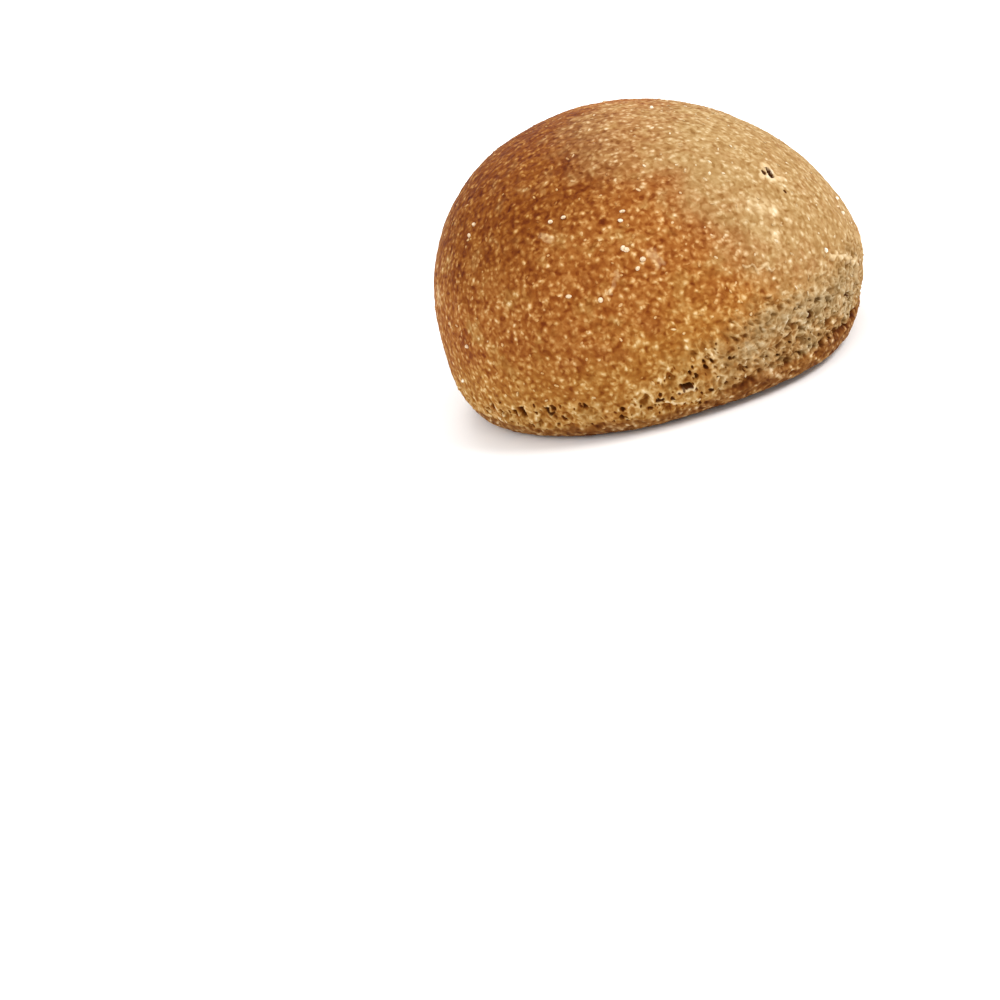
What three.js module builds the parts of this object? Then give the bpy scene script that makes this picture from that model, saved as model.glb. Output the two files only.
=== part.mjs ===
// A wholemeal bread roll, baked as one piece: a domed, slightly lopsided ball of
// dough on a flat foot. Millimetres, +Z up, with the origin in the middle of the
// foot on the surface that the roll stands on, +X to its right and +Y to its back.

import * as THREE from "three";

// Driving dimensions.
const WIDTH = 95; // along X, at the waist
const DEPTH = 91; // along Y, at the waist
const HEIGHT = 58.5;
const WAIST_HEIGHT = 14; // height of the widest ring
const FOOT_SHARE = 0.85; // the foot's radius, as a share of the waist's

// How round the outline is: 2 is an ellipse, and more is squarer.
const DOME_SQUARENESS = 2.05;
const WALL_SQUARENESS = 1.8;

// The dough slumped a little to its left as it rose.
const CROWN_LEAN = -4.7;

// Uneven places left by shaping and proving. Azimuth is counted from +X towards
// +Y, in degrees, and each place swells the skin by rise, fading over spread.
const DOME_SWELLS = [
  { azimuth: 0, elevation: 4, rise: 0.5, spread: 15 }, // right cheek
  { azimuth: 11, elevation: 32, rise: -0.6, spread: 16 }, // flat right shoulder
  { azimuth: 180, elevation: 2, rise: -0.5, spread: 14 }, // dented left cheek
  { azimuth: 150, elevation: 40, rise: 0.4, spread: 18 }, // full left shoulder
  { azimuth: -60, elevation: 35, rise: 0.7, spread: 20 }, // full front
  { azimuth: -120, elevation: 50, rise: -0.5, spread: 17 }, // shallow front hollow
  { azimuth: 75, elevation: 30, rise: 0.6, spread: 20 }, // full back
  { azimuth: 120, elevation: 12, rise: -0.7, spread: 17 }, // flat back left
];
const FOOT_SWELLS = [
  { azimuth: -45, rise: 1.9, spread: 17 },
  { azimuth: -85, rise: -1.4, spread: 15 },
  { azimuth: -155, rise: 0.8, spread: 18 },
  { azimuth: -10, rise: -0.6, spread: 14 },
  { azimuth: 60, rise: 1.2, spread: 20 },
  { azimuth: 110, rise: -1.0, spread: 18 },
];

// How finely the skin is divided.
const SEGMENTS = 72; // round the roll
const DOME_RINGS = 20; // crown to waist
const WALL_RINGS = 7; // waist to foot
const FOOT_RINGS = 3; // across the flat foot

// One quarter of a superellipse: the point at angle q, between (0, 1) and (1, 0).
function quarter(q, squareness) {
  const bend = 2 / squareness;
  return [Math.sin(q) ** bend, Math.cos(q) ** bend];
}

// Half of the roll's upright section, as [share of the waist's radius, height],
// from the middle of the foot up to the crown.
function sectionPoints() {
  const points = [];
  for (let i = 0; i < FOOT_RINGS; i++) {
    points.push(new THREE.Vector2((FOOT_SHARE * i) / FOOT_RINGS, 0));
  }
  for (let i = 0; i < WALL_RINGS; i++) {
    const q = (Math.PI / 2) * (i / WALL_RINGS);
    const [flare, drop] = quarter(q, WALL_SQUARENESS);
    const radius = FOOT_SHARE + (1 - FOOT_SHARE) * flare;
    points.push(new THREE.Vector2(radius, WAIST_HEIGHT * (1 - drop)));
  }
  for (let i = 0; i <= DOME_RINGS; i++) {
    const q = (Math.PI / 2) * (1 - i / DOME_RINGS);
    const [radius, rise] = quarter(q, DOME_SQUARENESS);
    points.push(new THREE.Vector2(radius, WAIST_HEIGHT + (HEIGHT - WAIST_HEIGHT) * rise));
  }
  return points;
}

// A bell-shaped weight: 1 at the middle of a swell, falling to 0 around it.
function fade(degreesAway, spread) {
  return Math.exp(-0.5 * (degreesAway / spread) ** 2);
}

// The unit vector that points at an azimuth and elevation, both in degrees.
function pointing(azimuth, elevation) {
  const a = THREE.MathUtils.degToRad(azimuth);
  const e = THREE.MathUtils.degToRad(elevation);
  const flat = Math.cos(e);
  return new THREE.Vector3(flat * Math.cos(a), flat * Math.sin(a), Math.sin(e));
}

// How far the foot stands out at an azimuth, in millimetres.
function footSwell(azimuth) {
  const towards = pointing(azimuth, 0);
  return FOOT_SWELLS.reduce((sum, swell) => {
    const away = towards.angleTo(pointing(swell.azimuth, 0));
    return sum + swell.rise * fade(THREE.MathUtils.radToDeg(away), swell.spread);
  }, 0);
}

// How far the skin stands out in a direction from the waist's centre.
function domeSwell(direction) {
  return DOME_SWELLS.reduce((sum, swell) => {
    const away = direction.angleTo(pointing(swell.azimuth, swell.elevation));
    return sum + swell.rise * fade(THREE.MathUtils.radToDeg(away), swell.spread);
  }, 0);
}

// Turns the even lathe shape into the uneven roll, one vertex at a time. A vertex
// comes in with its radius as a share of the waist's, and its height in millimetres.
function settle(point) {
  const azimuth = THREE.MathUtils.radToDeg(Math.atan2(point.y, point.x));
  const fromMiddle = Math.min(1, Math.hypot(point.x, point.y) / FOOT_SHARE);
  const height = point.z;
  point.x *= WIDTH / 2;
  point.y *= DEPTH / 2;

  const belowWaist = Math.max(0, 1 - height / WAIST_HEIGHT);
  point.addScaledVector(pointing(azimuth, 0), footSwell(azimuth) * belowWaist * fromMiddle);

  const waistCentre = new THREE.Vector3(0, 0, WAIST_HEIGHT);
  const direction = point.clone().sub(waistCentre).normalize();
  const aboveFoot = Math.min(1, height / WAIST_HEIGHT);
  point.addScaledVector(direction, domeSwell(direction) * aboveFoot);

  point.x += CROWN_LEAN * (height / HEIGHT) ** 2;
}

function rollGeometry() {
  const geometry = new THREE.LatheGeometry(sectionPoints(), SEGMENTS);
  geometry.rotateX(Math.PI / 2);
  const position = geometry.getAttribute("position");
  const point = new THREE.Vector3();
  for (let i = 0; i < position.count; i++) {
    point.fromBufferAttribute(position, i);
    settle(point);
    position.setXYZ(i, point.x, point.y, point.z);
  }
  geometry.computeVertexNormals();

  // The origin goes to the middle of the outline, on the standing surface.
  geometry.computeBoundingBox();
  const middle = geometry.boundingBox.getCenter(new THREE.Vector3());
  geometry.translate(-middle.x, -middle.y, -geometry.boundingBox.min.z);
  return geometry;
}

const crust = new THREE.MeshStandardMaterial({
  color: 0xb87c46,
  roughness: 0.85,
  metalness: 0,
});

const roll = new THREE.Mesh(rollGeometry(), crust);
roll.name = "bread_roll";

const part = new THREE.Group();
part.add(roll);

export default part;
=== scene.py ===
# %% [markdown]
# # A wholemeal bread roll
# A ball of dough is shaped by hand, set on a tray and baked. The dome dries into a
# matte, orange-brown crust flecked with bran. Low on the sides, where steam tore the
# dough, the skin stays open and porous, and under it a smooth lip runs round the foot.
# The solid model of the roll comes in first. It is only read here: everything below is
# made around it, in metres, in the same place.

# %% Open the frame
import math

import bpy
import bmesh
from mathutils import Matrix, Vector


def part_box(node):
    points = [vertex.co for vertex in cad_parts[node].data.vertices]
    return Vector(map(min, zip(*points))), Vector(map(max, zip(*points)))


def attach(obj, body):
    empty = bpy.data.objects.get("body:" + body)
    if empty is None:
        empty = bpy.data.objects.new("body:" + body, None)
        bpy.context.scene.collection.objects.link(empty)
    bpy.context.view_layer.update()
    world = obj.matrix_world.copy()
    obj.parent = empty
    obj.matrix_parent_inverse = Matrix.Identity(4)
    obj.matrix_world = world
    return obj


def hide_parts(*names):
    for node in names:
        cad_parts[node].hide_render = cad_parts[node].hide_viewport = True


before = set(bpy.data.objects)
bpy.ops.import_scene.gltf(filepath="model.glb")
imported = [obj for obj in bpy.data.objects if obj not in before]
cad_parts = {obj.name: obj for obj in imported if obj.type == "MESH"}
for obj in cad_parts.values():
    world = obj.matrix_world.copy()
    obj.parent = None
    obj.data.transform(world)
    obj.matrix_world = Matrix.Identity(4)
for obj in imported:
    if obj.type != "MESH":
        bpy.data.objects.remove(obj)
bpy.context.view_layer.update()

CAD_NODE = "bread_roll"
LOW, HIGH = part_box(CAD_NODE)
HEIGHT = HIGH.z - LOW.z
MM = 0.001
print("roll, mm:", [round(side / MM, 1) for side in HIGH - LOW])

# %% [markdown]
# ## Pointing at places on the roll
# A baker would say "on the left shoulder, halfway up". Here a place is an azimuth, from
# +X towards +Y, and an elevation, both in degrees, seen from a point inside the roll at
# the height of its widest ring. Directions keep their meaning if the roll's size
# changes, which coordinates would not.

# %% Name directions
WAIST = 0.24 * HEIGHT
EYE = Vector((0, 0, WAIST))


def pointing(azimuth, elevation=0):
    a, e = math.radians(azimuth), math.radians(elevation)
    return Vector((math.cos(e) * math.cos(a), math.cos(e) * math.sin(a), math.sin(e)))


# %% [markdown]
# ## The camera
# The roll is seen from a little above its foot, from the front, with the picture turned
# so that the foot seems to rise to the right. A long lens from half a metre keeps the
# dome's proportions true. The roll is placed in the picture by turning the camera and
# not by shifting its lens, so the lens is told where in the picture the roll belongs,
# as shares of the picture's width to the right and up.

# %% Set up the camera
LENS_MM, SENSOR_MM = 90, 36
CAMERA_ELEVATION, CAMERA_TILT = 18.2, -14.1
CAMERA_DISTANCE = 0.551
LOOKED_AT = Vector((0, 0, 0.45 * HEIGHT))
RIGHT_SHARE, UP_SHARE = 0.140, 0.252


def camera_turn(elevation, tilt, right_share, up_share):
    back = pointing(-90, elevation)
    level = Vector((1, 0, 0))
    upright = back.cross(level)
    roll = math.radians(tilt)
    right = level * math.cos(roll) + upright * math.sin(roll)
    up = back.cross(right)
    facing = Matrix((right, up, back)).transposed()
    wanted = Vector((right_share * SENSOR_MM, up_share * SENSOR_MM, -LENS_MM))
    return facing @ wanted.rotation_difference(Vector((0, 0, -1))).to_matrix()


camera = bpy.data.objects.new("camera", bpy.data.cameras.new("camera"))
camera.data.lens, camera.data.sensor_width = LENS_MM, SENSOR_MM
camera.data.clip_start, camera.data.clip_end = 0.01, 20
turn = camera_turn(CAMERA_ELEVATION, CAMERA_TILT, RIGHT_SHARE, UP_SHARE)
seat = LOOKED_AT + pointing(-90, CAMERA_ELEVATION) * CAMERA_DISTANCE
camera.matrix_world = Matrix.Translation(seat) @ turn.to_4x4()
bpy.context.scene.collection.objects.link(camera)
bpy.context.scene.camera = camera
print("camera at, mm:", [round(c / MM) for c in seat])

# %% [markdown]
# ## Daylight studio
# Bread looks best in soft light, because a hard lamp turns a dry crust to chalk.
# A white sky gives the even light and the white background. One big soft box stands to
# the right and in front, high up, and models the dome. Two weaker ones, at the left and
# behind, keep the far sides readable. The floor is a plain pale sheet.

# %% Light the studio
SKY_STRENGTH = 1.06
SOFT_BOXES = {
    # name: (azimuth, elevation, distance, width, watts)
    "key": (-25, 45, 0.9, 0.40, 5.6),
    "left_fill": (-160, 30, 1.1, 0.8, 3.0),
    "back_fill": (95, 40, 1.1, 0.6, 4.0),
}


def aim(position, target):
    away = (position - target).normalized()
    return Matrix.Translation(position) @ away.to_track_quat("Z", "Y").to_matrix().to_4x4()


def soft_box(name, azimuth, elevation, distance, width, watts):
    light = bpy.data.lights.new(name, "AREA")
    light.shape, light.size, light.energy = "DISK", width, watts
    box = bpy.data.objects.new(name, light)
    middle = Vector((0, 0, HEIGHT / 2))
    box.matrix_world = aim(middle + pointing(azimuth, elevation) * distance, middle)
    bpy.context.scene.collection.objects.link(box)


for name, setting in SOFT_BOXES.items():
    soft_box(name, *setting)

world = bpy.data.worlds.new("white_sky")
world.use_nodes = True
sky = world.node_tree.nodes["Background"]
sky.inputs["Color"].default_value = (1, 1, 1, 1)
sky.inputs["Strength"].default_value = SKY_STRENGTH
bpy.context.scene.world = world
bpy.context.scene.view_settings.view_transform = "Standard"
print("soft boxes:", len(SOFT_BOXES))

# %% Lay the floor
FLOOR_SIZE = 6.0
FLOOR_COLOUR = (0.94, 0.94, 0.94, 1)


def floor_material():
    material = bpy.data.materials.new("pale_floor")
    material.use_nodes = True
    surface = material.node_tree.nodes["Principled BSDF"]
    surface.inputs["Base Color"].default_value = FLOOR_COLOUR
    surface.inputs["Roughness"].default_value = 0.9
    surface.inputs["Specular IOR Level"].default_value = 0.1
    return material


sheet = bpy.data.meshes.new("floor")
half = FLOOR_SIZE / 2
corners = [(-half, -half, 0), (half, -half, 0), (half, half, 0), (-half, half, 0)]
sheet.from_pydata(corners, [], [(0, 1, 2, 3)])
sheet.materials.append(floor_material())
floor = bpy.data.objects.new("floor", sheet)
bpy.context.scene.collection.objects.link(floor)
print("floor, m:", FLOOR_SIZE)

# %% [markdown]
# ## The form under the skin
# The solid model is made of flat triangles about 4 mm across, which a close look would
# show. A copy of it is merged, turned back into four-sided faces and smoothed twice with
# Catmull-Clark subdivision. This smooth form isn't shown. It is only what the skin is
# laid on, so that every part of the skin knows where the roll's true surface is.

# %% Smooth a copy of the solid
MERGE_DISTANCE = 0.01 * MM
FORM_LEVELS = 2


def link(name, mesh):
    made = bpy.data.objects.new(name, mesh)
    bpy.context.scene.collection.objects.link(made)
    return made


def plain_mesh(source):
    """What the object's modifiers make of it, as a plain mesh."""
    bpy.context.view_layer.update()
    graph = bpy.context.evaluated_depsgraph_get()
    return bpy.data.meshes.new_from_object(source.evaluated_get(graph), depsgraph=graph)


def smooth_form():
    rough = bmesh.new()
    rough.from_mesh(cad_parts[CAD_NODE].data)
    bmesh.ops.remove_doubles(rough, verts=rough.verts, dist=MERGE_DISTANCE)
    bmesh.ops.join_triangles(
        rough, faces=rough.faces, angle_face_threshold=math.pi, angle_shape_threshold=math.pi
    )
    mesh = bpy.data.meshes.new("form")
    rough.to_mesh(mesh)
    rough.free()
    form = link("form", mesh)
    smoothing = form.modifiers.new("smooth", "SUBSURF")
    smoothing.levels = smoothing.render_levels = FORM_LEVELS
    form.data = plain_mesh(form)
    form.modifiers.clear()
    form.hide_render = True
    return form


def spot(azimuth, elevation):
    """The place on the form, in mm, that a direction points at, and the skin's normal."""
    _, place, normal, _ = form.ray_cast(EYE, pointing(azimuth, elevation))
    return place / MM, normal


form = smooth_form()
bpy.context.view_layer.update()
print("form faces:", len(form.data.polygons), "crown, mm:", round(spot(0, 90)[0].z, 1))

# %% [markdown]
# ## Writing patterns as sums
# A crust is many simple patterns laid over each other. The same patterns are needed
# twice: by the geometry nodes that press the pores into the skin, and by the material
# that browns their rims. Both kinds of tree take the same maths, noise and cell nodes,
# so a few small helpers write a pattern once for either tree. Lengths are millimetres.

# %% Helpers that add nodes to any tree
def join(tree, value, socket):
    if isinstance(value, bpy.types.NodeSocket):
        tree.links.new(value, socket)
    else:
        socket.default_value = value


def calc(tree, operation, *values):
    node = tree.nodes.new("ShaderNodeMath")
    node.operation = operation
    for value, socket in zip(values, node.inputs):
        join(tree, value, socket)
    return node.outputs[0]


def total(tree, first, *others):
    for other in others:
        first = calc(tree, "ADD", first, other)
    return first


def product(tree, first, *others):
    for other in others:
        first = calc(tree, "MULTIPLY", first, other)
    return first


def strongest(tree, first, *others):
    """The largest of the values."""
    for other in others:
        first = calc(tree, "MAXIMUM", first, other)
    return first


def less(tree, first, *others):
    """The first value less all the others."""
    for other in others:
        first = calc(tree, "SUBTRACT", first, other)
    return first


def vector_calc(tree, operation, *values):
    node = tree.nodes.new("ShaderNodeVectorMath")
    node.operation = operation
    slots = (node.inputs[0], node.inputs[3]) if operation == "SCALE" else node.inputs
    for value, socket in zip(values, slots):
        join(tree, value, socket)
    return node.outputs["Value" if operation in ("LENGTH", "DOT_PRODUCT") else "Vector"]


def ramp(tree, value, start, end, low=0.0, high=1.0):
    """Goes smoothly from low, where value is at start, to high, where it is at end."""
    node = tree.nodes.new("ShaderNodeMapRange")
    node.interpolation_type = "SMOOTHSTEP"
    for given, socket in zip((value, start, end, low, high), node.inputs):
        join(tree, given, socket)
    return node.outputs[0]


def noise(tree, place, size, detail=2.0, shift=0.0, distortion=0.0):
    """A cloudy pattern from 0 to 1 whose clouds are about size across."""
    node = tree.nodes.new("ShaderNodeTexNoise")
    join(tree, vector_calc(tree, "ADD", place, (shift, -shift, 2 * shift)), node.inputs["Vector"])
    node.inputs["Scale"].default_value = 1 / size
    node.inputs["Detail"].default_value = detail
    node.inputs["Distortion"].default_value = distortion
    return node.outputs[0]


def wander(tree, place, size, amount):
    """The same places, pushed about a little, so that cells and lines aren't straight."""
    node = tree.nodes.new("ShaderNodeTexNoise")
    join(tree, place, node.inputs["Vector"])
    node.inputs["Scale"].default_value = 1 / size
    node.inputs["Detail"].default_value = 1.0
    push = vector_calc(tree, "SUBTRACT", node.outputs[1], (0.5, 0.5, 0.5))
    return vector_calc(tree, "ADD", place, vector_calc(tree, "SCALE", push, 2 * amount))


def around_half(tree, cloud, height):
    """A cloudy pattern turned into a relief that swings to both sides of 0."""
    return product(tree, calc(tree, "SUBTRACT", cloud, 0.5), height)


def cells(tree, place, size, feature="F1"):
    """The Voronoi cells of points scattered about size apart."""
    node = tree.nodes.new("ShaderNodeTexVoronoi")
    node.feature = feature
    join(tree, place, node.inputs["Vector"])
    node.inputs["Scale"].default_value = 1 / size
    return node


def parts_of(tree, vector):
    node = tree.nodes.new("ShaderNodeSeparateXYZ")
    join(tree, vector, node.inputs[0])
    return node.outputs


print("pattern helpers ready")

# %% [markdown]
# ## Where each kind of crust lies
# Four things decide how a spot on the roll looks: how high it is, which way it faces,
# whether it touched a neighbour in the oven, and chance. The torn, porous rim is low and
# narrow in front, and climbs high at the right, where this roll touched the next one and
# stayed pale and grey. A second, smaller touch is at the back.

# %% Zones of the crust
LIP_HEIGHT = 3.8
RIM_HEIGHT = 12.5
TOUCHES = [
    # (azimuth, how much higher the rim climbs there, how much higher the lip is)
    (-40, 11.5, 2.0),
    (128, 8.0, 1.6),
]
# How far each effect of a touch reaches: all of it within the first angle from the
# touch's middle and none past the second, in degrees.
CLIMB_REACH, LIP_REACH, TORN_REACH = (12, 68), (10, 50), (8, 47)


def facing(tree, side, azimuth, narrow, wide, elevation=0):
    """1 within narrow degrees of a direction, and fading to 0 at wide degrees."""
    closeness = vector_calc(tree, "DOT_PRODUCT", side, tuple(pointing(azimuth, elevation)))
    return ramp(tree, closeness, math.cos(math.radians(wide)), math.cos(math.radians(narrow)))


def zones(tree, place):
    """Sockets with the height, the direction and the masks, 0 to 1, of the crust's zones."""
    height = parts_of(tree, place)[2]
    side = vector_calc(tree, "NORMALIZE", vector_calc(tree, "MULTIPLY", place, (1, 1, 0)))
    outward = vector_calc(tree, "SUBTRACT", place, tuple(EYE / MM))
    outward = vector_calc(tree, "NORMALIZE", outward)
    chance = less(tree, noise(tree, place, 12.0, 2.0), 0.5)
    ragged = around_half(tree, noise(tree, place, 2.4, 1.0, 61.0), 5.0)
    rim_top = total(tree, product(tree, chance, 9.0), ragged, RIM_HEIGHT)
    lip_top = total(tree, product(tree, chance, -4.0), product(tree, ragged, 0.4), LIP_HEIGHT)
    touched = pressed = 0.0
    for azimuth, climb, lip_climb in TOUCHES:
        near = facing(tree, side, azimuth, *CLIMB_REACH)
        closer = facing(tree, side, azimuth, *LIP_REACH)
        rim_top = total(tree, rim_top, product(tree, near, climb))
        lip_top = total(tree, lip_top, product(tree, closer, lip_climb))
        pressed = strongest(tree, pressed, near)
        touched = strongest(tree, touched, facing(tree, side, azimuth, *TORN_REACH))
    over_lip = less(tree, height, lip_top)
    under_top = less(tree, rim_top, height)
    above_lip = ramp(tree, over_lip, -0.5, 1.0)
    under = ramp(tree, height, 0.9, 0.15)
    return {
        "height": height,
        "outward": outward,
        "over_lip": over_lip,
        "touched": touched,
        "rim": product(tree, above_lip, ramp(tree, under_top, -1.5, 5.0)),
        "grey": product(tree, touched, above_lip, ramp(tree, under_top, -1.5, 8.0)),
        "pressed": product(tree, pressed, ramp(tree, height, 19.0, 11.0)),
        "lip": strongest(tree, less(tree, 1.0, above_lip, under), 0.0),
        "under": under,
    }


print("touches:", len(TOUCHES))

# %% [markdown]
# ## Pores and tears
# The rim looks like open crumb. It is built from patterns laid over each other. A foam
# of small cells with soft raised walls covers all of it, each cell sunk to a depth of
# its own. Over it lie deeper pores, from pinholes to a few that are 2.5 mm wide. Where
# the dough rose freely they are stretched upwards. Where a neighbour was pulled away,
# the dough tore into short curled ridges with hollows between them, and a broken crease
# runs along the top of the lip.

# %% Relief of the rim
FOAM_CELL, FOAM_DEPTH = 2.1, 0.65
PORES = [
    # (cell, smallest radius, largest radius, share of the cells, depth)
    (4.6, 0.70, 1.35, 0.60, 1.5),
    (1.70, 0.40, 0.74, 0.90, 1.0),
    (1.20, 0.22, 0.42, 0.45, 0.45),
]
FURROW_DEPTH = 0.55
CREASE_DEPTH = 0.8
EDGE_RISE, WALL_RISE, FOLD_RISE = 0.10, 0.12, 0.20


def stretched(tree, place, upwards):
    """The place with its height scaled, so that a pattern lies flat or stands up."""
    scale = tree.nodes.new("ShaderNodeCombineXYZ")
    for socket, value in zip(scale.inputs, (1.0, 1.0, upwards)):
        join(tree, value, socket)
    return vector_calc(tree, "MULTIPLY", place, scale.outputs[0])


def foam(tree, place, rim):
    """How deep the small cells are sunk, and where the soft walls between them are."""
    bent = wander(tree, wander(tree, place, 1.9, 0.8), 0.9, 0.18)
    wall = cells(tree, bent, FOAM_CELL, "DISTANCE_TO_EDGE").outputs["Distance"]
    luck = parts_of(tree, cells(tree, bent, FOAM_CELL).outputs["Color"])[0]
    depth = product(tree, total(tree, product(tree, luck, luck, FOAM_DEPTH), 0.10), rim)
    clear = product(tree, ramp(tree, noise(tree, place, 4.0, 1.0, 81.0), 0.36, 0.58), rim)
    sunk = product(tree, ramp(tree, wall, 0.02, 0.34), depth)
    return sunk, product(tree, ramp(tree, wall, 0.25, 0.05), clear)


def pores(tree, place, rim, cell, smallest, largest, chance):
    """How far inside a round pore each place is, in mm. It is below 0 outside."""
    bent = wander(tree, place, 1.1, 0.45)
    node = cells(tree, bent, cell)
    luck = parts_of(tree, node.outputs["Color"])
    there = ramp(tree, luck[0], chance, chance - 0.08)
    size = total(tree, product(tree, luck[1], luck[1], largest - smallest), smallest)
    radius = product(tree, size, there, ramp(tree, rim, 0.1, 0.7))
    away = product(tree, node.outputs["Distance"], cell)
    return less(tree, radius, away)


def crease(tree, place, zone):
    """1 along the broken furrow at the top of the lip."""
    away = calc(tree, "ABSOLUTE", less(tree, zone["over_lip"], 0.6))
    broken = ramp(tree, noise(tree, place, 2.4, 1.0, 77.0), 0.44, 0.56)
    return product(tree, ramp(tree, away, 1.3, 0.4), broken, zone["touched"])


def all_pores(tree, place, rim):
    """Depth of the pores in mm, the painted shade inside them, and 1 on the raised edge round them.
    """
    depth = dark = edge = 0.0
    for index, (cell, smallest, largest, share, deepest) in enumerate(PORES):
        shifted = vector_calc(tree, "ADD", place, (31.0 * index, 7.0 * index, 5.0 * index))
        inside = pores(tree, shifted, rim, cell, smallest, largest, share)
        bowl = ramp(tree, inside, 0.0, 0.45 * largest)
        depth = strongest(tree, depth, product(tree, bowl, deepest))
        dark = strongest(tree, dark, ramp(tree, inside, -0.10, 0.36 * largest))
        near = product(tree, ramp(tree, inside, -0.70, -0.12), ramp(tree, inside, 0.12, -0.05))
        edge = strongest(tree, edge, near)
    return depth, dark, product(tree, edge, rim)


def rim_relief(tree, place, zone):
    """The relief in mm, the painted shade of its hollows and how pale its ridges are, 0 to 1."""
    rim = zone["rim"]
    lie = stretched(tree, place, total(tree, product(tree, zone["touched"], 0.7), 0.65))
    small, walls = foam(tree, lie, strongest(tree, rim, product(tree, zone["lip"], 0.55)))
    untouched = ramp(tree, zone["grey"], 0.0, 1.0, 1.0, 0.5)
    low = ramp(tree, zone["over_lip"], 4.0, 12.0, 1.0, 0.5)
    depth, dark, edge = all_pores(tree, lie, product(tree, rim, untouched, low))
    dark = product(tree, dark, ramp(tree, rim, 0.1, 0.8))
    flow = noise(tree, stretched(tree, place, 1.25), 2.1, 1.0, 33.0, 0.7)
    furrow = product(tree, ramp(tree, flow, 0.42, 0.28), zone["grey"])
    folds = ramp(tree, calc(tree, "ABSOLUTE", around_half(tree, flow, 2.0)), 0.22, 0.02)
    folds = product(tree, folds, zone["grey"])
    fault = crease(tree, place, zone)
    raised = total(
        tree,
        product(tree, edge, EDGE_RISE),
        product(tree, walls, WALL_RISE),
        product(tree, folds, FOLD_RISE),
    )
    sunk = total(
        tree,
        small,
        depth,
        product(tree, furrow, FURROW_DEPTH),
        product(tree, fault, CREASE_DEPTH),
    )
    # Painted shade: darker in the pores, in the deeper foam cells, in the furrows and along the
    # crease.
    dark = strongest(
        tree,
        dark,
        ramp(tree, small, 0.20, 0.62, 0.0, 0.5),
        product(tree, furrow, 0.55),
        product(tree, fault, 0.95),
    )
    ridges = strongest(tree, product(tree, walls, 0.80), product(tree, edge, 0.45))
    ridges = product(tree, ridges, ramp(tree, zone["grey"], 0.0, 1.0, 1.0, 0.45))
    ridges = strongest(tree, ridges, product(tree, folds, 0.60))
    return less(tree, raised, sunk), dark, ridges


print("pore sizes:", len(PORES))

# %% [markdown]
# ## Marks with a place of their own
# A few marks are not left to chance. Steam broke through the right shoulder in a slot
# with a cream edge, and burst the widest pores low in front. Flour left pale scuffs, and
# the skin wrinkled up in wavy folds where it met the torn dough. Each mark is a short
# line between two directions, with a radius, and a wrinkle sways to both sides of it.
# The two directions are turned into places on the form once, and the patterns then only
# measure how far away the line is. The skin bulges away from a straight line, so most
# of the distance straight out from the skin is left out. Pushing the places about first
# makes a line wavy.

# %% Holes, scuffs and wrinkles
# In each list: azimuth and elevation of both ends in degrees, then the radius in mm. A
# hole has its depth last.
HOLES = [
    # the slot in the right shoulder and the speck under it
    (-32.2, 38.8, -33.6, 37.0, 0.60, 2.4),
    (-35.0, 39.2, -35.4, 38.5, 0.40, 1.1),
    (-34.2, 31.4, -34.2, 31.2, 0.34, 0.5),
    # wide pores along the foot
    (-87.2, -6.2, -85.8, -6.5, 0.54, 1.6),
    (-95.2, -8.2, -93.8, -8.4, 0.42, 0.8),
    (-91.4, -8.8, -91.2, -8.8, 0.32, 0.6),
    (-80.6, -9.4, -80.2, -9.8, 0.40, 0.9),
    (-126.6, -6.0, -125.4, -7.6, 0.40, 1.2),
    (-135.2, -6.6, -134.0, -8.0, 0.42, 1.2),
    # pores in the touched side
    (-47.2, 0.4, -47.2, -0.4, 0.42, 1.0),
    (-29.4, -1.6, -28.4, -2.8, 0.46, 1.2),
]
HALO = [
    (-31.8, 39.6, -34.2, 36.4, 1.90),
    (-36.0, 39.2, -37.6, 38.2, 1.00),
    (-33.2, 35.6, -29.4, 33.8, 0.80),
    (-89.2, -7.2, -84.6, -7.8, 0.75),
]
WRINKLES = [
    (-33, 10.5, -19, 2.5, 0.84),
    (-63, 20.3, -54, 16.0, 0.46),
]
SCUFFS = [
    (-49, 33, -45, 30, 3.4),
    (-49, 24, -49, 23, 1.8),
    (-123, 40, -119, 39, 1.0),
    (-87, 31, -86, 28, 1.5),
    (-98, 28, -101, 23, 0.7),
    (38, 36, 43, 33, 2.6),
    (150, 50, 152, 48, 2.2),
    (-170, 21, -168, 18, 1.8),
    (98, 26, 102, 24, 2.4),
]
# The share of the distance straight out from the skin that is left out.
FLATTENED = 0.85


def distance_to_line(tree, place, ends, sway=0.0, period=1.0):
    """How far each place is from the line on the skin between two directions, in mm."""
    start, end = spot(*ends[:2])[0], spot(*ends[2:])[0]
    upward = spot((ends[0] + ends[2]) / 2, (ends[1] + ends[3]) / 2)[1]
    reach = end - start
    offset = vector_calc(tree, "SUBTRACT", place, tuple(start))
    lift = vector_calc(tree, "DOT_PRODUCT", offset, tuple(FLATTENED * upward))
    offset = vector_calc(tree, "SUBTRACT", offset, vector_calc(tree, "SCALE", tuple(upward), lift))
    share = vector_calc(tree, "DOT_PRODUCT", offset, tuple(reach / reach.length_squared))
    share = calc(tree, "MINIMUM", strongest(tree, share, 0.0), 1.0)
    nearest = vector_calc(tree, "SCALE", tuple(reach), share)
    if sway:
        wave = calc(tree, "SINE", product(tree, share, 2 * math.pi * reach.length / period))
        aside = tuple(reach.cross(upward).normalized() * sway)
        nearest = vector_calc(tree, "ADD", nearest, vector_calc(tree, "SCALE", aside, wave))
    return vector_calc(tree, "LENGTH", vector_calc(tree, "SUBTRACT", offset, nearest))


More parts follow.
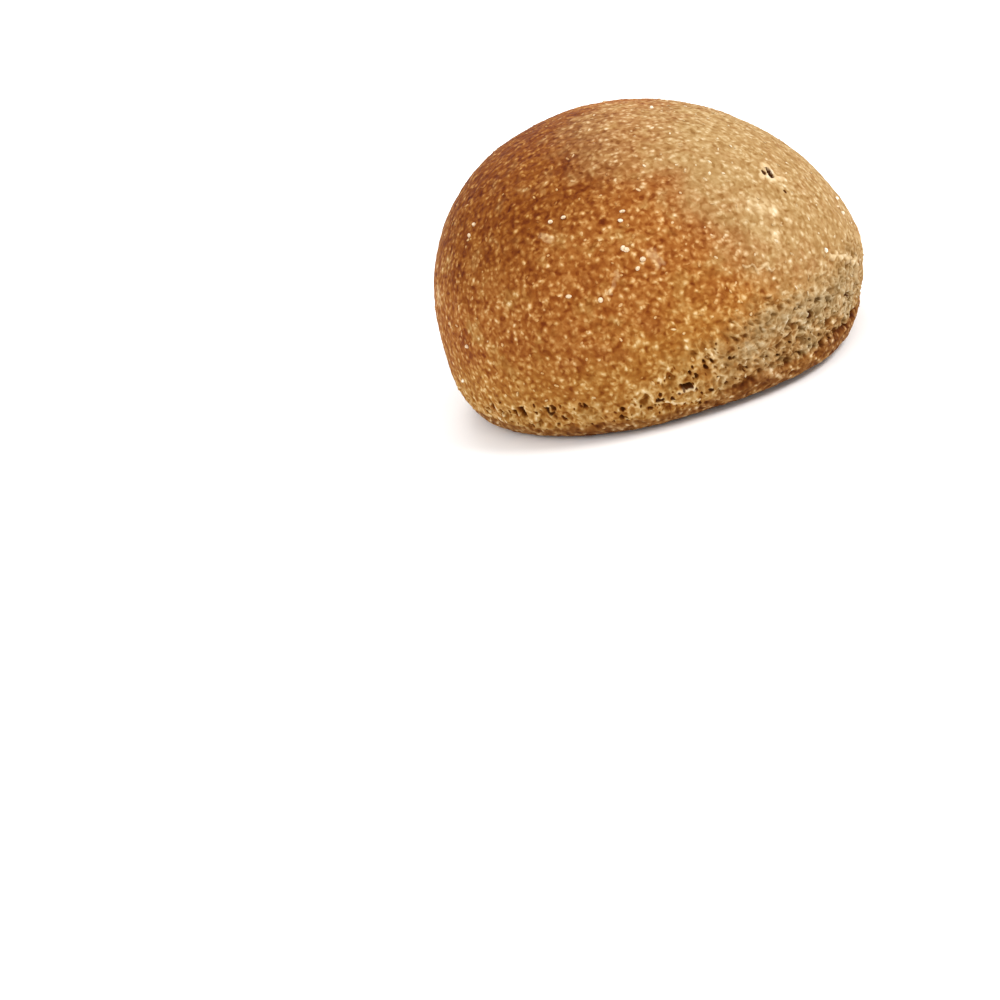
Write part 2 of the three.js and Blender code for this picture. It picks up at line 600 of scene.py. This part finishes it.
def steam_holes(tree, place):
    """The depth of the few deep holes in mm, and the painted shade inside them."""
    bent = wander(tree, place, 1.1, 0.32)
    depth = dark = 0.0
    for *ends, radius, deepest in HOLES:
        away = distance_to_line(tree, bent, ends)
        inside = ramp(tree, away, 1.15 * radius, 0.5 * radius)
        depth = strongest(tree, depth, product(tree, inside, deepest))
        dark = strongest(tree, dark, ramp(tree, away, 1.40 * radius, 0.95 * radius))
    return depth, dark


def marked(tree, place, lines, size, amount, core=0.25, **wave):
    """1 along the nearest of some lines, and 0 past its radius, pushed about by amount."""
    bent = wander(tree, place, size, amount)
    found = 0.0
    for *ends, radius in lines:
        near = ramp(tree, distance_to_line(tree, bent, ends, **wave), radius, core * radius)
        found = strongest(tree, found, near)
    return found


def halo(tree, place):
    return marked(tree, place, HALO, 1.2, 0.6, 0.3)


def wrinkles(tree, place):
    return marked(tree, place, WRINKLES, 2.4, 1.0, 0.30, sway=0.38, period=3.0)


def scuffs(tree, place):
    return marked(tree, place, SCUFFS, 1.6, 1.0)


print("holes:", len(HOLES), "wrinkles:", len(WRINKLES), "scuffs:", len(SCUFFS))

# %% [markdown]
# ## The skin
# One closed net of even, four-sided cells is wanted, with no pole where cells crowd. A
# cube's faces are cut into a fine grid and the grid is puffed out into a ball, which
# keeps the cells nearly equal. Each point is then shot outwards from the middle until it
# hits the smooth form, and stays there: that is the bare skin, and its place is stored,
# because the material needs it after the point has moved. Last, the point moves along
# the skin's normal by the sum of the relief patterns.

# %% Tree that wraps and embosses the skin
MIDDLE_HEIGHT = 0.42 * HEIGHT


def new_tree(name, inputs):
    tree = bpy.data.node_groups.new(name, "GeometryNodeTree")
    tree.interface.new_socket("Geometry", in_out="OUTPUT", socket_type="NodeSocketGeometry")
    for label, kind in inputs.items():
        tree.interface.new_socket(label, in_out="INPUT", socket_type=kind)
    return tree


def node_of(tree, kind, **settings):
    node = tree.nodes.new(kind)
    for name, value in settings.items():
        setattr(node, name, value)
    return node


def ball_of_cells(tree, per_side):
    cube = node_of(tree, "GeometryNodeMeshCube")
    cube.inputs["Size"].default_value = (2, 2, 2)
    for socket in ("Vertices X", "Vertices Y", "Vertices Z"):
        join(tree, per_side, cube.inputs[socket])
    position = node_of(tree, "GeometryNodeInputPosition").outputs[0]
    even = vector_calc(tree, "TANGENT", vector_calc(tree, "SCALE", position, math.pi / 4))
    return cube.outputs["Mesh"], vector_calc(tree, "NORMALIZE", even)


def lay_on(tree, mesh, direction, target):
    middle = node_of(tree, "FunctionNodeInputVector", vector=(0, 0, MIDDLE_HEIGHT))
    start = node_of(tree, "GeometryNodeSetPosition")
    join(tree, mesh, start.inputs["Geometry"])
    join(tree, direction, start.inputs["Position"])
    here = node_of(tree, "GeometryNodeInputPosition").outputs[0]
    ray = node_of(tree, "GeometryNodeRaycast")
    join(tree, target, ray.inputs["Target Geometry"])
    join(tree, middle.outputs[0], ray.inputs["Source Position"])
    join(tree, here, ray.inputs["Ray Direction"])
    ray.inputs["Ray Length"].default_value = 1.0
    land = node_of(tree, "GeometryNodeSetPosition")
    join(tree, start.outputs[0], land.inputs["Geometry"])
    join(tree, ray.outputs["Hit Position"], land.inputs["Position"])
    return land.outputs[0]


def store(tree, mesh, name, value, kind="FLOAT_VECTOR"):
    node = node_of(tree, "GeometryNodeStoreNamedAttribute", data_type=kind, domain="POINT")
    node.inputs["Name"].default_value = name
    join(tree, mesh, node.inputs["Geometry"])
    join(tree, value, node.inputs["Value"])
    return node.outputs[0]


SWELLS = [
    # (size, detail, shift, height), mm: slow swells, dents and a rough grain
    (16.0, 1.0, 3.0, 0.80),
    (5.0, 2.0, 9.0, 0.40),
    (2.2, 1.0, 14.0, 0.24),
    (1.3, 0.0, 5.0, 0.18),
]
PRESSED_IN = 1.1
HALO_RISE, WRINKLE_RISE = 0.2, 0.45
# A height in mm that no relief reaches, so it holds nothing back.
FREE = 9.0


def dome_relief(tree, place, zone):
    """The swells, the torn dough of the rim, the lip and the pressed touches, in mm."""
    swells = [
        around_half(tree, noise(tree, place, size, detail, shift), height)
        for size, detail, shift, height in SWELLS
    ]
    torn = around_half(tree, noise(tree, place, 3.2, 2.0, 21.0, 0.8), 1.3)
    lip_rise = total(tree, product(tree, zone["touched"], 0.2), 0.3)
    lip = product(tree, ramp(tree, zone["over_lip"], 0.4, -1.2), ramp(tree, zone["height"], 0.2, 1.8))
    return total(
        tree,
        *swells,
        product(tree, torn, zone["rim"]),
        product(tree, lip, lip_rise),
        product(tree, zone["pressed"], -PRESSED_IN),
    )


def tray_relief(tree, place):
    """Shallow hollows in the flat foot, where steam was held under it. They only go in."""
    slow = ramp(tree, noise(tree, place, 4.5, 3.0, 65.0), 0.48, 0.30, 0.0, -0.35)
    pits = cells(tree, wander(tree, place, 1.5, 0.5), 3.3).outputs["Distance"]
    return total(tree, slow, ramp(tree, pits, 0.22, 0.10, 0.0, -0.4))


def skin_tree():
    tree = new_tree("skin", {
        "Form": "NodeSocketObject", "Points per side": "NodeSocketInt",
        "Relief": "NodeSocketFloat", "Material": "NodeSocketMaterial",
    })
    given = node_of(tree, "NodeGroupInput").outputs
    form_mesh = node_of(tree, "GeometryNodeObjectInfo")
    join(tree, given["Form"], form_mesh.inputs["Object"])
    mesh, direction = ball_of_cells(tree, given["Points per side"])
    mesh = lay_on(tree, mesh, direction, form_mesh.outputs["Geometry"])
    bare = node_of(tree, "GeometryNodeInputPosition").outputs[0]
    mesh = store(tree, mesh, "place", vector_calc(tree, "SCALE", bare, 1 / MM))
    stored = node_of(tree, "GeometryNodeInputNamedAttribute", data_type="FLOAT_VECTOR")
    stored.inputs["Name"].default_value = "place"
    place = stored.outputs[0]
    zone = zones(tree, place)
    height = total(
        tree,
        dome_relief(tree, place, zone),
        rim_relief(tree, place, zone)[0],
        product(tree, steam_holes(tree, place)[0], -1.0),
        product(tree, halo(tree, place), HALO_RISE),
        product(tree, wrinkles(tree, place), WRINKLE_RISE),
    )
    # The tray holds the foot flat, so the relief only goes in there.
    tray = ramp(tree, zone["under"], 1.0, 0.0, tray_relief(tree, place), FREE)
    height = calc(tree, "MINIMUM", height, tray)
    normal = node_of(tree, "GeometryNodeInputNormal").outputs[0]
    push = vector_calc(tree, "SCALE", normal, product(tree, height, given["Relief"], MM))
    emboss = node_of(tree, "GeometryNodeSetPosition")
    join(tree, mesh, emboss.inputs["Geometry"])
    join(tree, push, emboss.inputs["Offset"])
    return finish_tree(tree, emboss.outputs[0], given["Material"])


def finish_tree(tree, mesh, material):
    """Ends a tree: smooth shading, real geometry and its material."""
    smooth = node_of(tree, "GeometryNodeSetShadeSmooth")
    join(tree, mesh, smooth.inputs["Geometry"])
    realised = node_of(tree, "GeometryNodeRealizeInstances")
    join(tree, smooth.outputs[0], realised.inputs["Geometry"])
    painted = node_of(tree, "GeometryNodeSetMaterial")
    join(tree, realised.outputs[0], painted.inputs["Geometry"])
    join(tree, material, painted.inputs["Material"])
    join(tree, painted.outputs[0], node_of(tree, "NodeGroupOutput").inputs[0])
    return tree


skin_nodes = skin_tree()
print("skin tree nodes:", len(skin_nodes.nodes))

# %% [markdown]
# ## The crust's finish
# Crust colour comes from heat. The left shoulder was nearest the heat and is a deep
# brown. The right shoulder stayed tan, and a painted sheen of the soft box at the right
# makes it paler still. Low down the crust is golden. None of it is even: flour and
# water spots leave patches of red-brown and ochre, a few millimetres wide, and every
# zone breaks up into patches where it ends. The bran shows as short pale flecks that
# lie every way, so each fleck gets its own cell, direction and strength.
# A pale grain is the same crust with a thinner brown layer, and light through a layer
# falls off as a power of its thickness. So all of the grain is one number, used as the
# power that the zone's colour is raised to. The same number carries painted shade: it
# thickens the layer in the pores, furrows and crease, which are then also mixed towards
# a near-black brown. The lip round the foot is darker brown, partly from the tray and
# partly as painted shade. The patterns that pressed the pores take part, read from the
# stored bare place, so colour and shape agree.

# %% Colours of the crust
DEEP_BROWN = (0.196, 0.055, 0.005, 1)
RED_BROWN = (0.270, 0.092, 0.018, 1)
ORANGE_BROWN = (0.308, 0.114, 0.023, 1)
OCHRE = (0.345, 0.158, 0.034, 1)
GOLDEN = (0.335, 0.148, 0.029, 1)
RIM_GOLD = (0.320, 0.158, 0.038, 1)
TAN = (0.390, 0.248, 0.106, 1)
TOUCH_GREY = (0.290, 0.192, 0.088, 1)
# Darker brown for the lip and underside: partly tray browning, partly painted shade round the foot.
LIP_BROWN_AND_SHADE = (0.172, 0.064, 0.015, 1)
CREAM = (0.620, 0.450, 0.250, 1)
# A near-black brown that is painted shade in the pores, furrows, crease and steam holes.
PORE_SHADE = (0.075, 0.022, 0.005, 1)

# Where a colour shows most, in degrees: azimuth, the angles where it starts to fade and
# is gone, then elevation.
HOT_SHOULDER = (-155, 0, 48, 57)
HONEY_FRONT = (-72, 5, 38, 6)
PALE_CROWN = (-62, 0, 34, 72)
# The tan shoulder is partly paler crust and partly a painted sheen of the soft box at the right.
TAN_AND_SHEEN_SHOULDER = (-18, 22, 54, 36)


def blend(tree, amount, first, second):
    node = tree.nodes.new("ShaderNodeMix")
    node.data_type = "RGBA"
    join(tree, amount, node.inputs[0])
    join(tree, first, node.inputs[6])
    join(tree, second, node.inputs[7])
    return node.outputs[2]


def baked(tree, colour, depth):
    """The same crust with a thinner (depth below 1) or a thicker (above 1) brown layer."""
    node = tree.nodes.new("ShaderNodeGamma")
    join(tree, colour, node.inputs["Color"])
    join(tree, depth, node.inputs["Gamma"])
    return node.outputs[0]


def browned(tree, place, zone):
    """The crust's colour before any grain, and how clearly bran stands out from it."""
    slow = around_half(tree, noise(tree, place, 7.0, 2.0, 40.0), 2.0)
    quick = around_half(tree, noise(tree, place, 3.2, 1.0, 91.0, 0.6), 1.2)
    swing = total(tree, slow, quick)
    colour = blend(tree, ramp(tree, swing, 0.05, 0.6, 0.0, 0.8), ORANGE_BROWN, OCHRE)
    colour = blend(tree, ramp(tree, swing, -0.05, -0.55, 0.0, 0.8), colour, RED_BROWN)
    outward = zone["outward"]
    hot = total(tree, facing(tree, outward, *HOT_SHOULDER), product(tree, swing, -0.4))
    hot = ramp(tree, hot, 0.2, 1.0)
    colour = blend(tree, product(tree, hot, 0.8), colour, DEEP_BROWN)
    honey = product(tree, facing(tree, outward, *HONEY_FRONT), 0.5)
    low = total(tree, ramp(tree, zone["height"], 32.0, 8.0), product(tree, swing, 0.5), honey)
    colour = blend(tree, ramp(tree, low, 0.2, 1.0, 0.0, 0.8), colour, GOLDEN)
    crown = total(tree, facing(tree, outward, *PALE_CROWN), product(tree, swing, 0.6))
    colour = blend(tree, ramp(tree, crown, 0.1, 1.0, 0.0, 0.40), colour, TAN)
    # Painted sheen: the right shoulder is blended towards tan, partly paler crust and partly the soft
    # box's sheen.
    tan_and_sheen = total(tree, facing(tree, outward, *TAN_AND_SHEEN_SHOULDER), product(tree, swing, 0.45))
    tan_and_sheen = ramp(tree, tan_and_sheen, 0.0, 1.10)
    colour = blend(tree, tan_and_sheen, colour, TAN)
    rim = product(tree, zone["rim"], ramp(tree, swing, -0.4, 0.3, 0.1, 0.8))
    colour = blend(tree, rim, colour, RIM_GOLD)
    # Painted shade round the foot: the lip and underside go darker, partly from tray browning too.
    lip = strongest(tree, zone["lip"], zone["under"])
    lip = product(tree, lip, ramp(tree, swing, -0.5, 0.5, 0.95, 0.6))
    colour = blend(tree, lip, colour, LIP_BROWN_AND_SHADE)
    grey = product(tree, zone["grey"], ramp(tree, swing, -0.5, 0.5, 0.45, 1.0))
    colour = blend(tree, grey, colour, TOUCH_GREY)
    faint = total(tree, product(tree, hot, 0.15), product(tree, tan_and_sheen, 0.25))
    return colour, less(tree, 1.0, faint)


BRAN_LAYERS = [
    # (shift, cell, length, width, share of the cells), mm
    (0.0, 1.60, 2.00, 1.20, 1.0),
    (9.0, 1.70, 2.30, 1.15, 1.0),
    (23.0, 1.45, 1.60, 1.20, 1.0),
    (37.0, 1.80, 2.40, 1.10, 1.0),
    (5.0, 3.20, 2.80, 1.40, 0.8),
]


def flecks(tree, place, cell, length, width, chance):
    """How strong the fleck at each place is, with a soft edge."""
    node = cells(tree, place, cell)
    luck = parts_of(tree, node.outputs["Color"])
    offset = vector_calc(tree, "SUBTRACT", place, node.outputs["Position"])
    spin = tree.nodes.new("ShaderNodeVectorRotate")
    spin.rotation_type = "AXIS_ANGLE"
    join(tree, offset, spin.inputs["Vector"])
    axis = vector_calc(tree, "SUBTRACT", node.outputs["Color"], (0.5, 0.5, 0.5))
    join(tree, axis, spin.inputs["Axis"])
    join(tree, product(tree, luck[1], 2 * math.pi), spin.inputs["Angle"])
    shape = vector_calc(tree, "MULTIPLY", spin.outputs[0], (2 / length, 2 / width, 2 / width))
    away = vector_calc(tree, "LENGTH", shape)
    strength = ramp(tree, luck[2], chance, 0.0)
    return product(tree, ramp(tree, away, 1.35, -0.1), strength)


def bran_pattern(tree, place):
    """How much pale bran shows at each place."""
    bent = wander(tree, place, 0.9, 0.35)
    shown = 0.0
    for shift, cell, length, width, chance in BRAN_LAYERS:
        moved = vector_calc(tree, "ADD", bent, (shift, -shift, 2 * shift))
        shown = strongest(tree, shown, flecks(tree, moved, cell, length, width, chance))
    return shown


# How much each pattern thins the brown layer, or thickens it where it is below 0.
THINS = {
    "bran": 0.78,
    "grain": 0.95,
    "coarse": 0.45,
    "specks": -0.30,
    "scuffs": 0.30,
    "pale": 0.35,
    "ridges": 0.62,
    # painted shade in the pores, furrows and crease, written as a thicker layer
    "hollows": -0.90,
}
BROWN_LAYER, THINNEST_LAYER = 1.21, 0.35
# Heights of the bump in mm.
BRAN_BUMP, GRAIN_BUMP, FLOUR_BUMP = 0.16, 0.30, 0.05
DRY_ROUGHNESS = 0.80


def crust_material():
    material = bpy.data.materials.new("baked_crust")
    material.use_nodes = True
    tree = material.node_tree
    surface = tree.nodes["Principled BSDF"]
    stored = tree.nodes.new("ShaderNodeAttribute")
    stored.attribute_name = "place"
    place = stored.outputs["Vector"]
    zone = zones(tree, place)
    colour, clear = browned(tree, place, zone)

    # Grain: uneven browning at the scale of the flour, then the flecks of bran.
    coarse = around_half(tree, noise(tree, place, 2.6, 1.0, 11.0, 0.5), 1.0)
    grain = around_half(tree, noise(tree, place, 1.25, 0.5, 41.0, 0.4), 1.0)
    specks = ramp(tree, noise(tree, place, 1.2, 0.0, 19.0), 0.42, 0.22)
    torn = total(tree, product(tree, zone["rim"], 0.35), product(tree, zone["grey"], 0.30))
    bran = product(tree, bran_pattern(tree, place), clear, less(tree, 1.0, torn))

    # Pores, ridges and marks. Then everything that is paler or darker is added up.
    _, dark, ridges = rim_relief(tree, place, zone)
    scuffed = product(tree, scuffs(tree, place), ramp(tree, grain, -0.15, 0.10, 0.4, 1.0))
    wrinkled = product(tree, wrinkles(tree, place), ramp(tree, zone["rim"], 0.0, 0.5, 0.80, 1.15))
    pale = strongest(tree, product(tree, halo(tree, place), 1.25), wrinkled)
    patterns = {
        "bran": bran, "grain": product(tree, grain, clear), "coarse": coarse, "specks": specks,
        "scuffs": scuffed, "pale": pale, "ridges": ridges, "hollows": dark,
    }
    paler = total(tree, *(product(tree, patterns[name], THINS[name]) for name in THINS))
    depth = strongest(tree, less(tree, BROWN_LAYER, paler), THINNEST_LAYER)
    colour = baked(tree, colour, depth)
    cream = total(tree, product(tree, scuffed, 0.32), product(tree, pale, 0.40))
    colour = blend(tree, cream, colour, CREAM)
    # Painted shade: the pores, furrows, crease and steam holes are mixed towards a near-black brown.
    deep = strongest(tree, ramp(tree, dark, 0.6, 1.0, 0.0, 0.75), steam_holes(tree, place)[1])
    colour = blend(tree, deep, colour, PORE_SHADE)
    join(tree, colour, surface.inputs["Base Color"])

    roughness = total(
        tree,
        product(tree, grain, 0.25),
        product(tree, bran, -0.10),
        product(tree, dark, 0.1),
        DRY_ROUGHNESS,
    )
    join(tree, roughness, surface.inputs["Roughness"])
    join(tree, ramp(tree, deep, 0.0, 0.6, 0.07, 0.0), surface.inputs["Specular IOR Level"])

    fine = total(
        tree,
        product(tree, bran, BRAN_BUMP),
        product(tree, grain, GRAIN_BUMP),
        product(tree, noise(tree, place, 0.4, 2.0, 70.0), FLOUR_BUMP),
    )
    bump = tree.nodes.new("ShaderNodeBump")
    bump.inputs["Strength"].default_value = 1.0
    bump.inputs["Distance"].default_value = MM
    join(tree, fine, bump.inputs["Height"])
    join(tree, bump.outputs[0], surface.inputs["Normal"])
    return material


crust = crust_material()
print("crust nodes:", len(crust.node_tree.nodes))

# %% [markdown]
# ## Wrap the skin and thin it out
# The grid is finer than the finished piece can hold, so that small pores come out round.
# Decimation then takes away points where the skin is smooth and keeps them round the
# pores, where they are needed. A plain finer grid would spend them evenly and blur the
# pores.

# %% Make the crust piece
SKIN_CELLS = 230
MOST_TRIANGLES = 196_000


def give(modifier, label, value):
    """Sets a modifier's input by the identifier of the socket with that label."""
    for item in modifier.node_group.interface.items_tree:
        if item.in_out == "INPUT" and item.name == label:
            modifier[item.identifier] = value


def wrapped_skin():
    skin = link("crust", bpy.data.meshes.new("bare"))
    wrap = skin.modifiers.new("wrap", "NODES")
    wrap.node_group = skin_nodes
    give(wrap, "Form", form)
    give(wrap, "Points per side", SKIN_CELLS)
    give(wrap, "Relief", 1.0)
    give(wrap, "Material", crust)
    skin.data = plain_mesh(skin)
    skin.modifiers.clear()
    return skin


def thin_out(piece, most):
    triangles = sum(len(face.vertices) - 2 for face in piece.data.polygons)
    thinning = piece.modifiers.new("thin", "DECIMATE")
    thinning.ratio = most / triangles
    piece.data = plain_mesh(piece)
    piece.modifiers.clear()
    return triangles


roll = wrapped_skin()
before = thin_out(roll, MOST_TRIANGLES)
print("triangles:", before, "thinned to", len(roll.data.polygons))
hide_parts(CAD_NODE)
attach(roll, "root")

# %% [markdown]
# ## Bran flakes and grains
# Under a lens the flecks aren't only colour. Flakes of bran lie half baked into the
# skin, and a few coarse white grains of flour or salt stick to it, each with its own
# small shadow. Both are one idea: little stones of a few faces, scattered on the skin,
# turned with it, and sunk to the middle. One tree does it for both, with a density, a
# smallest and a largest size and a seed. The grains that show on the front have places
# of their own, which join the scattered ones.

# %% Tree that sprinkles small pieces on the skin
STONE_SIDES, STONE_RINGS = 8, 4
# How far a stone leans and how far it spins, to either side, in radians.
LEAN, SPIN = 0.25, 3.1
# No stones below the first height and all of them above the second, in mm.
FIRST_STONES, ALL_STONES = 2.5, 14.0
FLAKES = {
    "seed": 11, "per_square_metre": 34_000,
    "smallest": (0.24, 0.18, 0.07), "largest": (0.66, 0.36, 0.15),
}
GRAINS = {
    "seed": 5, "per_square_metre": 320,
    "smallest": (0.38, 0.34, 0.30), "largest": (0.78, 0.66, 0.62),
}
GRAIN_PLACES = [
    # (azimuth, elevation), on the front
    (-120, 44), (-115, 45), (-93, 44), (-95, 34), (-94.2, 33.4), (-90, 30), (-92, 28),
    (-113, 24), (-104, 22), (-150, 10), (-155, 41), (-155, 38),
]
GRAIN_WHITE = (0.840, 0.760, 0.610, 1)


def random_vector(tree, low, high, seed, shift):
    node = node_of(tree, "FunctionNodeRandomValue", data_type="FLOAT_VECTOR")
    join(tree, low, node.inputs["Min"])
    join(tree, high, node.inputs["Max"])
    join(tree, calc(tree, "ADD", seed, float(shift)), node.inputs["Seed"])
    return node.outputs["Value"]


def scattered(tree, skin_mesh, density, seed):
    """Points on the skin, away from the foot, that remember how the skin is turned."""
    spread = node_of(tree, "GeometryNodeDistributePointsOnFaces")
    join(tree, skin_mesh, spread.inputs["Mesh"])
    join(tree, seed, spread.inputs["Seed"])
    here = node_of(tree, "GeometryNodeInputPosition").outputs[0]
    height = calc(tree, "DIVIDE", parts_of(tree, here)[2], MM)
    thick = product(tree, density, ramp(tree, height, FIRST_STONES, ALL_STONES))
    join(tree, thick, spread.inputs["Density"])
    return store(tree, spread.outputs["Points"], "turned", spread.outputs["Rotation"], "QUATERNION")


def object_mesh(tree, given_object):
    node = node_of(tree, "GeometryNodeObjectInfo")
    join(tree, given_object, node.inputs["Object"])
    return node.outputs["Geometry"]


def sprinkle_tree():
    tree = new_tree("sprinkle", {
        "Skin": "NodeSocketObject", "Places": "NodeSocketObject", "Density": "NodeSocketFloat",
        "Seed": "NodeSocketInt", "Smallest": "NodeSocketVector", "Largest": "NodeSocketVector",
        "Material": "NodeSocketMaterial",
    })
    given = node_of(tree, "NodeGroupInput").outputs
    seed = given["Seed"]
    chance_points = scattered(tree, object_mesh(tree, given["Skin"]), given["Density"], seed)
    points = node_of(tree, "GeometryNodeJoinGeometry")
    join(tree, chance_points, points.inputs[0])
    join(tree, object_mesh(tree, given["Places"]), points.inputs[0])

    stone = node_of(tree, "GeometryNodeMeshUVSphere")
    stone.inputs["Segments"].default_value = STONE_SIDES
    stone.inputs["Rings"].default_value = STONE_RINGS
    stone.inputs["Radius"].default_value = MM
    turned = node_of(tree, "GeometryNodeInputNamedAttribute", data_type="QUATERNION")
    turned.inputs["Name"].default_value = "turned"
    turn = node_of(tree, "FunctionNodeRotateRotation", rotation_space="LOCAL")
    join(tree, turned.outputs[0], turn.inputs["Rotation"])
    any_way = random_vector(tree, (-LEAN, -LEAN, -SPIN), (LEAN, LEAN, SPIN), seed, 1)
    join(tree, any_way, turn.inputs["Rotate By"])
    put = node_of(tree, "GeometryNodeInstanceOnPoints")
    join(tree, points.outputs[0], put.inputs["Points"])
    join(tree, stone.outputs["Mesh"], put.inputs["Instance"])
    join(tree, turn.outputs[0], put.inputs["Rotation"])
    size = random_vector(tree, given["Smallest"], given["Largest"], seed, 2)
    join(tree, size, put.inputs["Scale"])
    tinted = node_of(tree, "GeometryNodeStoreNamedAttribute", data_type="FLOAT", domain="INSTANCE")
    tinted.inputs["Name"].default_value = "tint"
    join(tree, put.outputs[0], tinted.inputs["Geometry"])
    luck = random_vector(tree, (0.0, 0.0, 0.0), (1.0, 1.0, 1.0), seed, 3)
    join(tree, parts_of(tree, luck)[0], tinted.inputs["Value"])
    return finish_tree(tree, tinted.outputs[0], given["Material"])


def stone_material(name, thickest, thinnest, whiteness):
    """Each little piece is the crust round it with a thinner brown layer, or whiter."""
    material = bpy.data.materials.new(name)
    material.use_nodes = True
    tree = material.node_tree
    surface = tree.nodes["Principled BSDF"]
    tint = tree.nodes.new("ShaderNodeAttribute")
    tint.attribute_name = "tint"
    luck = tint.outputs["Fac"]
    place = tree.nodes.new("ShaderNodeTexCoord").outputs["Object"]
    place = vector_calc(tree, "SCALE", place, 1 / MM)
    cloud = around_half(tree, noise(tree, place, 0.5, 2.0, 7.0), 1.0)
    depth = total(tree, ramp(tree, luck, 0.0, 1.0, thickest, thinnest), product(tree, cloud, -0.8))
    colour = baked(tree, browned(tree, place, zones(tree, place))[0], depth)
    white = ramp(tree, total(tree, cloud, luck), -0.1, 0.6, 0.3 * whiteness, whiteness)
    colour = blend(tree, white, colour, GRAIN_WHITE)
    join(tree, colour, surface.inputs["Base Color"])
    join(tree, ramp(tree, cloud, -0.2, 0.2, 0.60, 0.80), surface.inputs["Roughness"])
    surface.inputs["Specular IOR Level"].default_value = 0.15
    bump = tree.nodes.new("ShaderNodeBump")
    bump.inputs["Distance"].default_value = MM
    join(tree, product(tree, cloud, 0.12), bump.inputs["Height"])
    join(tree, bump.outputs[0], surface.inputs["Normal"])
    return material


def sprinkled(name, setting, places, material):
    piece = link(name, bpy.data.meshes.new(name))
    spread = piece.modifiers.new("sprinkle", "NODES")
    spread.node_group = sprinkle_nodes
    give(spread, "Skin", roll)
    give(spread, "Places", places)
    give(spread, "Density", float(setting["per_square_metre"]))
    give(spread, "Seed", setting["seed"])
    give(spread, "Smallest", setting["smallest"])
    give(spread, "Largest", setting["largest"])
    give(spread, "Material", material)
    piece.data = plain_mesh(piece)
    piece.modifiers.clear()
    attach(piece, "root")
    print(name, "faces:", len(piece.data.polygons))


def points_object(name, directions):
    mesh = bpy.data.meshes.new(name)
    mesh.from_pydata([spot(*direction)[0] * MM for direction in directions], [], [])
    return link(name, mesh)


sprinkle_nodes = sprinkle_tree()
no_places = points_object("no_places", [])
grain_places = points_object("grain_places", GRAIN_PLACES)
sprinkled("bran_flakes", FLAKES, no_places, stone_material("bran", 0.95, 0.50, 0.0))
sprinkled("white_grains", GRAINS, grain_places, stone_material("grain", 0.45, 0.35, 0.95))
for helper in (form, no_places, grain_places):
    bpy.data.objects.remove(helper)
